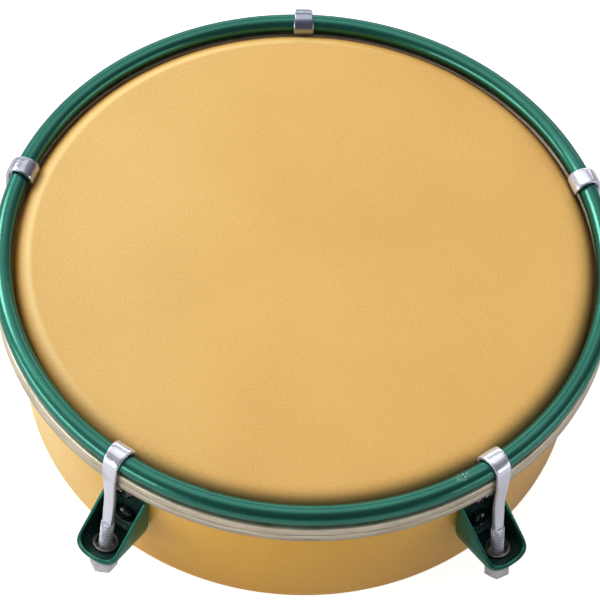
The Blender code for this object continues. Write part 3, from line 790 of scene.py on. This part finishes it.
def makeLug(s):
    face = s["back"] + s["backSheet"]
    lipStart = s["nose"] - s["lipLength"]
    lipLow = s["floor"] + s["lipRise"]
    lipHigh = lipLow + s["lipLength"] * s["lipSlope"]
    piece = looseObject("lug body", tub(
        s, s["halfWidth"], s["nose"], s["back"], s["backTop"], s["floor"] - s["floorSheet"], s["side"],
        s["heel"], "lug body"))
    shell = drillMesh(s["back"], cutterLook["shellHeight"], 360)
    cutters = [cutAway(piece, shell, Matrix.Translation((0, 0, cutterLook["shellMiddle"])))]
    hollow = tub(s, s["halfWidth"] - s["sheet"], s["nose"] - s["sheet"], face, cutterLook["past"],
                 s["floor"], s["side"] - s["sideGain"], s["heel"] - s["sheet"], "lug hollow")
    cutters.append(cutAway(piece, hollow, Matrix.Identity(4)))
    slope = slopeMesh(s, face, lipStart, lipLow, lipHigh)
    cutters.append(cutAway(piece, slope, Matrix.Identity(4)))
    cutters.append(cutAway(piece, drillMesh(s["holeRadius"], cutterLook["holeDepth"]), hookAxis))
    for row in s["screwRows"]:
        across = Matrix.Translation((face, 0, row)) @ Matrix.Rotation(math.pi / 2, 4, "Y")
        cutters.append(cutAway(piece, drillMesh(s["screwHole"], cutterLook["past"]), across))
    roundEdges(piece, s["edge"], 3, 38)
    mesh = smoothShaded(bakedMesh(piece, "lug body", cutters), 38)
    paintShadeInside(mesh, s, insideShadeLook, face, lipStart, lipHigh)
    return mesh


lugMesh = makeLug(lugLook)
for i in range(stationCount):
    scoop = placed(lugMesh, stationMatrix(i), "lug scoop")
    inside = [face.material_index for face in scoop.polygons]
    addPiece(stationName("lugScoop", i), scoop, finishes["green"], "drum",
             [stationName("lug", i)])
    # the faces inside the scoops take the painted shade finish
    scoop.materials.append(finishes["inside"])
    scoop.polygons.foreach_set("material_index", inside)
print("lugs made:", len(lugMesh.polygons), "faces each")


# ferrules, nuts, screws

ferruleLook = {"bore": 2.55 * mm, "top": 3.4 * mm, "tube": 2.95 * mm, "foot": 3.7 * mm,
               "flange": 0.45 * mm, "mouth": 0.45 * mm, "seat": 0.3 * mm, "low": -1.9 * mm,
               "footEdge": 0.2 * mm, "footSide": 0.7, "steps": 64}


def makeFerrule(s):
    f = s["flange"]
    mouth = s["mouth"]
    high = s["seat"] + f
    profile = arcPoints((s["top"] - f * 0.5, s["seat"] + f * 0.5), f * 0.5, 90, -60, 8)
    profile += [(s["tube"], s["seat"]), (s["tube"], s["low"]), (s["foot"], s["low"]),
                (s["foot"], s["low"] - f * s["footSide"]), (s["foot"] - s["footEdge"], s["low"] - f),
                (s["bore"], s["low"] - f), (s["bore"], high - mouth)]
    profile += arcPoints((s["bore"] + mouth, high - mouth), mouth, 180, 90, 6)
    mesh = lathe("ferrule", profile, s["steps"])
    mesh.transform(hookAxis)
    return mesh


addPiece("ferruleRings", aroundDrum("ferrule rings", makeFerrule(ferruleLook), finishes["ring"]),
         finishes["ring"], "drum", names("lug_ferrule"))


# how the corners of a nut are turned off, from just within its flats: the slope is of 30 degrees
cornerLook = {"start": 0.97, "past": 3 * mm, "slope": 0.577, "edge": 0.08 * mm, "steps": 72}

# steps round a small turned part
smallSteps = 48


def hexNut(flats, height, bore, chamfer, name):
    # its top face at height 0, its lower face at minus its height
    corner = flats / math.sqrt(3)
    middle = Matrix.Translation((0, 0, -height / 2))
    bm = bmesh.new()
    bmesh.ops.create_cone(bm, cap_ends=True, segments=6, radius1=corner, radius2=corner, depth=height,
                          matrix=middle)
    piece = looseObject(name, toMesh(bm, name))
    cutters = [cutAway(piece, drillMesh(bore, 3 * height, smallSteps), middle)]
    past = cornerLook["past"]
    flat = flats / 2 * cornerLook["start"]
    wide = corner + past
    rise = (wide - flat) * chamfer * cornerLook["slope"] / (corner - flat)
    ring = [(flat, past), (wide, past), (wide, -rise), (flat, 0)]
    flip = Matrix.Translation((0, 0, -height)) @ Matrix.Rotation(math.pi, 4, "X")
    for end in (Matrix.Identity(4), flip):
        cutters.append(cutAway(piece, lathe("nut chamfer", ring, cornerLook["steps"]), end))
    roundEdges(piece, cornerLook["edge"], 2, 30)
    return smoothShaded(bakedMesh(piece, name, cutters), 32)


tuningNutLook = {"flats": 6.4 * mm, "height": 6.2 * mm, "bore": 2.2 * mm, "chamfer": 0.35 * mm,
                 "top": -2.8 * mm, "turns": [0, 21, 30, -10, 33]}


def makeTuningNuts(s):
    plain = hexNut(s["flats"], s["height"], s["bore"], s["chamfer"], "tuning nut")
    for i in range(stationCount):
        place = stationMatrix(i) @ hookAxis @ Matrix.Translation((0, 0, s["top"]))
        place = place @ Matrix.Rotation(math.radians(s["turns"][i]), 4, "Z")
        addPiece(stationName("tuningNutHex", i), placed(plain, place, "tuning nut"), finishes["plate"],
                 stationName("nut", i), [stationName("tuning_nut", i)])


makeTuningNuts(tuningNutLook)

screwLook = {"head": 2.8 * mm, "crown": 2.0 * mm, "domeRim": 0.3, "domePower": 0.8,
             "domeSteps": 12, "shank": 1.5 * mm, "length": 8.0 * mm,
             "tip": 0.4 * mm, "recess": 1.7 * mm, "slot": 0.75 * mm, "depth": 1.1 * mm,
             "recessTaper": (0.45, 0.7),
             "seat": lugLook["back"] + lugLook["backSheet"] + 0.3 * mm, "rows": lugLook["screwRows"],
             "turns": (12, 37)}


def makeScrew(s):
    head = s["head"]
    crown = s["crown"]
    rim = s["domeRim"]
    power = s["domePower"]
    profile = [(0, crown)]
    for i in range(s["domeSteps"]):
        a = math.radians(90 * (i + 1) / s["domeSteps"])
        profile.append((head * math.sin(a) ** power, crown * (rim + (1 - rim) * math.cos(a) ** power)))
    profile += [(head, 0), (s["shank"], 0), (s["shank"], -s["length"] + s["tip"]),
                (s["shank"] - s["tip"], -s["length"]), (0, -s["length"])]
    piece = looseObject("lug screw", lathe("lug screw", profile, smallSteps, closed=False))
    cutters = []
    for turn in (45, 135):
        bm = bmesh.new()
        size = Matrix.Diagonal((2 * s["recess"], s["slot"], 2 * s["depth"], 1))
        bmesh.ops.create_cube(bm, size=1, matrix=size)
        for vert in bm.verts:
            if vert.co.z < 0:
                vert.co.x *= s["recessTaper"][0]
                vert.co.y *= s["recessTaper"][1]
        place = Matrix.Translation((0, 0, crown)) @ Matrix.Rotation(math.radians(turn), 4, "Z")
        cutters.append(cutAway(piece, toMesh(bm, "recess"), place))
    mesh = bakedMesh(piece, "lug screw", cutters)
    both = bmesh.new()
    for row, turn in zip(s["rows"], s["turns"]):
        place = Matrix.Translation((s["seat"], 0, row)) @ Matrix.Rotation(math.pi / 2, 4, "Y")
        place = place @ Matrix.Rotation(math.radians(turn), 4, "Z")
        both.from_mesh(placed(mesh, place, "screw copy"))
    return toMesh(both, "lug screws", 35)


addPiece("lugScrews", aroundDrum("lug screws", makeScrew(screwLook), finishes["black"]),
         finishes["black"], "drum", names("lug_screw_upper") + names("lug_screw_lower"))

insideLook = {"washerRadius": 3.5 * mm, "washerHole": 1.8 * mm, "washer": 0.5 * mm,
              "washerEdge": 0.1 * mm, "washerSeat": 74.32 * mm, "nutSeat": 73.52 * mm,
              "nutFlats": 5.5 * mm, "nut": 2.4 * mm, "bore": 1.8 * mm, "chamfer": 0.5 * mm}


def makeInsideParts(s):
    r = s["washerRadius"]
    hole = s["washerHole"]
    washer = lathe("washer", [(r - s["washerEdge"], 0), (r, -s["washerEdge"]), (r, -s["washer"]),
                              (hole, -s["washer"]), (hole, 0)], smallSteps)
    nut = hexNut(s["nutFlats"], s["nut"], s["bore"], s["chamfer"], "small nut")
    washers = bmesh.new()
    nuts = bmesh.new()
    turn = Matrix.Rotation(math.pi / 2, 4, "Y")
    for row in screwLook["rows"]:
        washers.from_mesh(placed(washer, Matrix.Translation((s["washerSeat"], 0, row)) @ turn, "copy"))
        nuts.from_mesh(placed(nut, Matrix.Translation((s["nutSeat"], 0, row)) @ turn, "copy"))
    return toMesh(washers, "washers", 35), toMesh(nuts, "nuts", 32)


washerPair, nutPair = makeInsideParts(insideLook)
addPiece("lugWashers", aroundDrum("lug washers", washerPair, finishes["plate"]), finishes["plate"],
         "drum", names("lug_washer_upper") + names("lug_washer_lower"))
addPiece("lugNuts", aroundDrum("lug nuts", nutPair, finishes["plate"]), finishes["plate"],
         "drum", names("lug_nut_upper") + names("lug_nut_lower"))
print("ferrules, nuts and screws made")


# tension hooks

hookLook = {"bend": 3.5 * mm, "grip": 0.06 * mm, "thickness": 1.2 * mm, "tipWidth": 5.7 * mm,
            "bendWidth": 4.2 * mm, "shankWidth": 3.05 * mm, "shankThickness": 1.8 * mm,
            "wrapWidening": 1.25, "shoulder": 0.6 * mm, "shoulderStart": 0.05 * mm,
            "shoulderGain": 0.3 * mm, "foot": 0.4 * mm, "footTaper": 0.7,
            "threadEnd": -10.2 * mm, "threadLength": 19.4 * mm, "threadFade": 0.5 * mm,
            "threadSteps": 26, "core": 1.67 * mm, "ridge": 0.10 * mm, "pitch": 0.7 * mm,
            "tipAngle": 172.0, "wrapSteps": 120, "jogStart": 1.2 * mm, "jogLength": 15.5 * mm,
            "jogSteps": 16, "crease": -0.025 * mm, "creaseAt": 34.0, "creaseWidth": 1.8,
            "creaseSlant": 12.0, "sectionSteps": 28}


def sectionPoints(width, thickness, power, count):
    points = []
    for i in range(count):
        a = 2 * math.pi * (i + 0.5) / count
        across = math.copysign(abs(math.cos(a)) ** (2 / power), math.cos(a)) * width / 2
        through = math.copysign(abs(math.sin(a)) ** (2 / power), math.sin(a)) * thickness / 2
        points.append((across, through))
    return points


# the three stretches of a hook, as stations (across, height, width, thickness, squareness)

def hookFoot(s):
    top = s["threadEnd"] + s["threadLength"]
    core = 2 * s["core"]
    thin = core * s["footTaper"]
    thick = s["shankThickness"] + s["shoulderGain"]
    return [(0, s["threadEnd"], thin, thin, 2),
            (0, s["threadEnd"] + s["foot"], core, core, 2),
            (0, top - s["threadFade"], core, core, 2),
            (0, top, core, core, 2),
            (0, top + s["shoulderStart"], s["shankWidth"], thick, 3),
            (0, top + s["shoulder"], s["shankWidth"], s["shankThickness"], 4)]


def hookJog(s, rod):
    # the flattened shank moves outwards to pass the counterhoop
    offset = rod.x + s["bend"]
    low = rod.z - s["jogStart"] - s["jogLength"]
    path = []
    for i in range(s["jogSteps"] + 1):
        t = i / s["jogSteps"]
        path.append((offset * (3 * t ** 2 - 2 * t ** 3), low + s["jogLength"] * t,
                     s["shankWidth"] + (s["bendWidth"] - s["shankWidth"]) * t ** 2,
                     s["shankThickness"] + (s["thickness"] - s["shankThickness"]) * t, 4.5))
    return path


def hookWrap(s, rod):
    # the claw is bent round the counterhoop's rod
    reach = s["bend"] - s["grip"]
    path = []
    for i in range(s["wrapSteps"] + 1):
        t = i / s["wrapSteps"]
        a = math.radians(s["tipAngle"] * t)
        wider = min(1, t * s["wrapWidening"])
        width = s["bendWidth"] + (s["tipWidth"] - s["bendWidth"]) * wider
        across = rod.x + reach * math.cos(a)
        path.append((across, rod.z + reach * math.sin(a), width, s["thickness"], 5))
    return path


def makeHook(s):
    rod = hookAxis.inverted() @ Vector((rodLook["Ring Radius"], 0, rodLook["Height"]))
    foot = hookFoot(s)
    straightPart = foot + hookJog(s, rod)
    path = straightPart + hookWrap(s, rod)
    bm = bmesh.new()
    rings = []
    for i, (x, z, width, thickness, power) in enumerate(path):
        before = path[max(i - 1, 0)]
        after = path[min(i + 1, len(path) - 1)]
        along = Vector((after[0] - before[0], 0, after[1] - before[1])).normalized()
        if i < len(foot):
            along = Vector((0, 0, 1))
        through = Vector((along.z, 0, -along.x))
        bent = i - len(straightPart)
        ring = []
        for w, t in sectionPoints(width, thickness, power, s["sectionSteps"]):
            if bent >= 0 and t > 0:
                angle = s["tipAngle"] * bent / s["wrapSteps"]
                away = angle - s["creaseAt"] - s["creaseSlant"] * w / width
                t += s["crease"] * hump(away, s["creaseWidth"])
            ring.append(bm.verts.new(Vector((x, w, z)) + through * t))
        rings.append(ring)
    skinRings(bm, rings)
    return toMesh(bm, "tension hook", 50)


def makeThread(s):
    length = s["threadLength"] - s["threadFade"]
    mesh = runTree("hook thread", woundThread, {
        "Radius": s["core"], "Ridge": s["ridge"], "Turns": length / s["pitch"], "Height": length,
        "Steps": s["threadSteps"], "Finish": finishes["thread"]})
    mesh.transform(Matrix.Translation((0, 0, s["threadEnd"] + s["threadFade"] / 2)))
    return toMesh(opened(mesh), "hook thread", 30)


hookMesh = makeHook(hookLook)
threadMesh = makeThread(hookLook)
for i in range(stationCount):
    place = stationMatrix(i) @ hookAxis
    body = stationName("hook", i)
    addPiece(stationName("hookStrap", i), placed(hookMesh, place, "hook strap"), finishes["chrome"],
             body, [stationName("tension_hook", i)])
    addPiece(stationName("hookThread", i), placed(threadMesh, place, "hook thread"), finishes["thread"],
             body, [])
print("hooks made")


# floor, light and camera

stageLook = {"floorSize": 3.0, "floorHeight": shellLook["bottom"] - 0.02 * mm,
             "floorColour": (0.76, 0.76, 0.77), "lift": 0.14, "cameraLift": 0.66}


def makeStage(s):
    bm = bmesh.new()
    bmesh.ops.create_grid(bm, x_segments=2, y_segments=2, size=s["floorSize"],
                          matrix=Matrix.Translation((0, 0, s["floorHeight"])))
    mesh = bpy.data.meshes.new("studio floor")
    bm.to_mesh(mesh)
    bm.free()
    floor = looseObject("studioFloor", mesh)
    material, tree = emptyMaterial("pale floor")
    plain = addNode(tree, "ShaderNodeBsdfDiffuse", {"Color": s["floorColour"]})
    path = tree.nodes.new("ShaderNodeLightPath")
    # the floor's own glow is seen by the camera and in reflections, but lights nothing
    anySight = path.outputs["Is Camera Ray"]
    for other in ("Is Glossy Ray", "Is Transmission Ray"):
        anySight = mathNode(tree, "MAXIMUM", anySight, path.outputs[other])
    strength = mathNode(tree, "MULTIPLY", anySight, s["lift"])
    strength = mathNode(tree, "MULTIPLY_ADD", path.outputs["Is Camera Ray"], s["cameraLift"], strength)
    glow = addNode(tree, "ShaderNodeEmission", {"Strength": strength})
    both = addNode(tree, "ShaderNodeAddShader", {0: plain.outputs[0], 1: glow.outputs[0]})
    addNode(tree, "ShaderNodeOutputMaterial", {"Surface": both.outputs[0]})
    floor.data.materials.append(material)


makeStage(stageLook)


def makeWorld():
    # a half tent of light: pale overhead and behind the drum, dark on the camera side
    look = {"dark": (0.15, 0.15, 0.17), "side": (0.22, 0.22, 0.24), "pale": (0.40, 0.41, 0.43),
            "back": (0.62, 0.63, 0.66), "lean": (-0.25, 0.62, 0.60)}
    world = bpy.data.worlds.new("studio air")
    bpy.context.scene.world = world
    world.use_nodes = True
    tree = world.node_tree
    tree.nodes.clear()
    where = tree.nodes.new("ShaderNodeTexCoord")
    lean = Vector(look["lean"]).normalized()
    lean = vectorNode(tree, "DOT_PRODUCT", where.outputs["Generated"], lean)
    shade = rampNode(tree, rangeNode(tree, lean, 0.0, 1.0, -1.0, 1.0), [
        (0.56, look["dark"]), (0.64, look["side"]), (0.74, look["pale"]), (0.98, look["back"])])
    lit = addNode(tree, "ShaderNodeBackground", {"Color": shade})
    addNode(tree, "ShaderNodeOutputWorld", {"Surface": lit.outputs[0]})


makeWorld()


def addLamp(name, place, aim, width, height, power):
    data = bpy.data.lights.new(name, "AREA")
    data.shape = "RECTANGLE"
    data.size = width
    data.size_y = height
    data.energy = power
    lamp = bpy.data.objects.new(name, data)
    lamp.location = place
    lamp.rotation_mode = "QUATERNION"
    lamp.rotation_quaternion = (Vector(aim) - Vector(place)).to_track_quat("-Z", "Y")
    bpy.context.scene.collection.objects.link(lamp)


# name, place, aim, width, height, power
lamps = [
    ("overhead box", (-0.08, 0.40, 1.45), (0, 0, 0), 1.6, 1.15, 5.2),
    ("key box", (-1.02, 0.80, 0.95), (0, 0, 0), 0.6, 0.6, 12.6),
    ("back strip", (0.20, 1.50, 0.60), (0, 0, 0), 1.8, 0.35, 4.0),
    ("left card", (-1.15, -0.45, 0.22), (0, 0, -0.02), 1.3, 0.35, 8.6),
    ("right card", (1.20, -0.50, 0.20), (0, 0, -0.02), 1.2, 0.3, 3.0),
]
for lamp in lamps:
    addLamp(*lamp)

cameraLook = {"lens": 147.307, "distance": 650.5706 * mm, "elevation": 55.1505, "roll": 4.08174,
              "turn": -3.69884, "slideRight": -1.44783 * mm, "slideUp": -12.6715 * mm,
              "aimHeight": -0.5 * mm}


def makeCamera(s):
    e = math.radians(s["elevation"])
    back = Vector((0, -math.cos(e), math.sin(e)))
    right = Vector((1, 0, 0))
    up = Vector((0, math.sin(e), math.cos(e)))
    roll = math.radians(s["roll"])
    rolledRight = right * math.cos(roll) + up * math.sin(roll)
    rolledUp = up * math.cos(roll) - right * math.sin(roll)
    place = back * s["distance"] + rolledRight * s["slideRight"] + rolledUp * s["slideUp"]
    basis = Matrix((rolledRight, rolledUp, back)).transposed().to_4x4()
    spin = Matrix.Rotation(math.radians(s["turn"]), 4, "Z")
    data = bpy.data.cameras.new("photo camera")
    data.lens = s["lens"]
    data.sensor_width = 36.0
    data.clip_start = 0.01
    data.clip_end = 20.0
    camera = bpy.data.objects.new("photo camera", data)
    bpy.context.scene.collection.objects.link(camera)
    lift = Matrix.Translation((0, 0, s["aimHeight"]))
    camera.matrix_world = lift @ spin @ Matrix.Translation(place) @ basis
    bpy.context.scene.camera = camera


makeCamera(cameraLook)
bpy.context.scene.view_settings.view_transform = "Standard"
print("stage, lamps and camera made")
